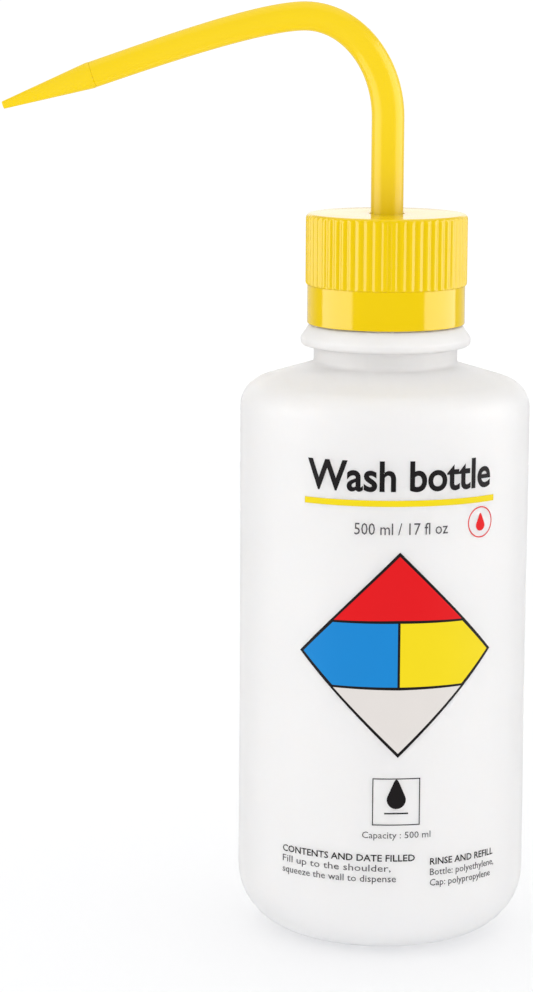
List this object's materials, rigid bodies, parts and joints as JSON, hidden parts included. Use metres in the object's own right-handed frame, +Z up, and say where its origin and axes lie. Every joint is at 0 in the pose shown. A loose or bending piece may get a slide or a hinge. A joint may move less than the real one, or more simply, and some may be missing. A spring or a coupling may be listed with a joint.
{
  "type": "wash bottle",
  "caption": "Translucent squeeze wash bottle with a ribbed yellow screw cap, a swivelling bent spout, a dip tube and a ball vent valve.",
  "frame": {"origin": "centre of the bottle's flat base, on the axis of the bottle, on the plane that it stands on", "axes": "+Z up along the bottle's axis, the spout points along -X at rest, +Y away from the side with the printed panel"},
  "size_m": [0.1381, 0.076, 0.2448],
  "materials": {
    "natural_plastic": "translucent natural polyethylene, soft satin",
    "yellow_plastic": "moulded polypropylene, semi-gloss",
    "spout_plastic": "moulded polyethylene, soft gloss",
    "tip_plastic": "moulded polyethylene, soft gloss",
    "insert_plastic": "natural polyethylene, satin",
    "tube_plastic": "translucent natural polyethylene",
    "gasket_foam": "closed-cell foam, matt",
    "seal_rubber": "black elastomer",
    "ball_glass": "polished"
  },
  "bodies": {
    "bottle": {"bottle_body": "natural_plastic"},
    "closure": {"closure_insert": "insert_plastic", "rim_gasket": "gasket_foam", "spout_o_ring": "seal_rubber", "vent_ball_cage": "insert_plastic"},
    "cap": {"screw_cap": "yellow_plastic"},
    "spout": {"spout_tube": "spout_plastic", "spout_tip": "tip_plastic", "dip_tube": "tube_plastic"},
    "vent_ball": {"vent_ball": "ball_glass"}
  },
  "joints": [
    {"name": "closure_lift", "type": "slide", "parent": "bottle", "child": "closure", "axis": [0, 0, 1], "range_m": [0, 0.00847]},
    {"name": "cap_turn", "type": "hinge", "parent": "closure", "child": "cap", "pos_m": [0, 0, 0.19], "axis": [0, 0, 1], "range_deg": [0, 720]},
    {"name": "spout_swivel", "type": "hinge", "parent": "closure", "child": "spout", "pos_m": [0, 0, 0.19], "axis": [0, 0, 1], "continuous": true},
    {"name": "vent_ball_lift", "type": "slide", "parent": "closure", "child": "vent_ball", "axis": [0, 0, 1], "range_m": [0, 0.002]}
  ],
  "couplings": [
    {"joint": "closure_lift", "follows": "cap_turn", "m_per_rad": 0.00067375}
  ]
}
